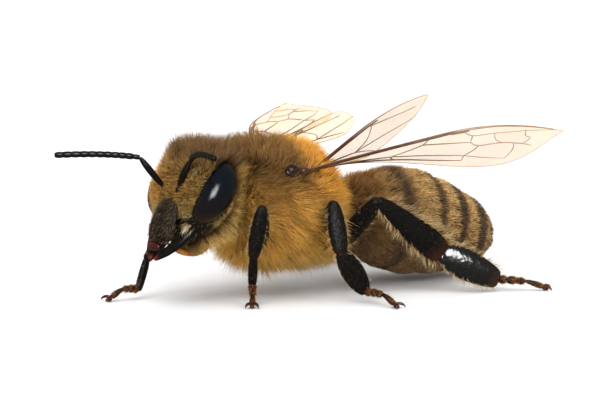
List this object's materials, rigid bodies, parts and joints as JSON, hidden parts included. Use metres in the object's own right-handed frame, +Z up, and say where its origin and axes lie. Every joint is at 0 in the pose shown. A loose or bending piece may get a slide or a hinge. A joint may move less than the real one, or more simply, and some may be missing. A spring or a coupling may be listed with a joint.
{
  "type": "honey bee",
  "caption": "Life-size still model of a honey bee worker standing with its wings half spread, a furry thorax, a banded abdomen and bent feelers.",
  "frame": {"origin": "middle of the footprint on the floor that the feet stand on", "axes": "+Z up, -Y the way the bee faces, +X its left side"},
  "size_m": [0.0148, 0.0166, 0.0066],
  "materials": {
    "face": "black face with short golden and brown hair",
    "eye": "glossy blue-black compound eye with fine facets",
    "shell": "glossy black-brown shell with fine golden hair",
    "lip": "glossy red-brown shell",
    "tongue": "waxy amber",
    "coat": "dense golden-brown hair",
    "wing": "clear tan membrane with brown veins",
    "belly": "dark brown plates with golden bands of short hair",
    "foot": "red-brown shell with fine golden hair"
  },
  "bodies": {
    "root": {"head": "face", "eye_left": "eye", "antenna_left_scape": "shell", "antenna_left_flagellum": "shell", "mandible_left": "shell", "eye_right": "eye", "antenna_right_scape": "shell", "antenna_right_flagellum": "shell", "mandible_right": "shell", "labrum": "lip", "proboscis": "tongue", "neck": "shell", "thorax": "coat", "tegula_left": "shell", "forewing_left": "wing", "hindwing_left": "wing", "tegula_right": "shell", "forewing_right": "wing", "hindwing_right": "wing", "abdomen_1": "belly", "abdomen_2": "belly", "abdomen_3": "belly", "abdomen_4": "belly", "abdomen_5": "belly", "abdomen_6": "belly", "leg_front_left_coxa": "shell", "leg_front_left_femur": "shell", "leg_front_left_tibia": "shell", "leg_front_left_basitarsus": "shell", "leg_front_left_tarsus": "foot", "leg_front_right_coxa": "shell", "leg_front_right_femur": "shell", "leg_front_right_tibia": "shell", "leg_front_right_basitarsus": "shell", "leg_front_right_tarsus": "foot", "leg_middle_left_coxa": "shell", "leg_middle_left_femur": "shell", "leg_middle_left_tibia": "shell", "leg_middle_left_basitarsus": "shell", "leg_middle_left_tarsus": "foot", "leg_middle_right_coxa": "shell", "leg_middle_right_femur": "shell", "leg_middle_right_tibia": "shell", "leg_middle_right_basitarsus": "shell", "leg_middle_right_tarsus": "foot", "leg_hind_left_coxa": "shell", "leg_hind_left_femur": "shell", "leg_hind_left_tibia": "shell", "leg_hind_left_basitarsus": "shell", "leg_hind_left_tarsus": "foot", "leg_hind_right_coxa": "shell", "leg_hind_right_femur": "shell", "leg_hind_right_tibia": "shell", "leg_hind_right_basitarsus": "shell", "leg_hind_right_tarsus": "foot"}
  },
  "joints": []
}
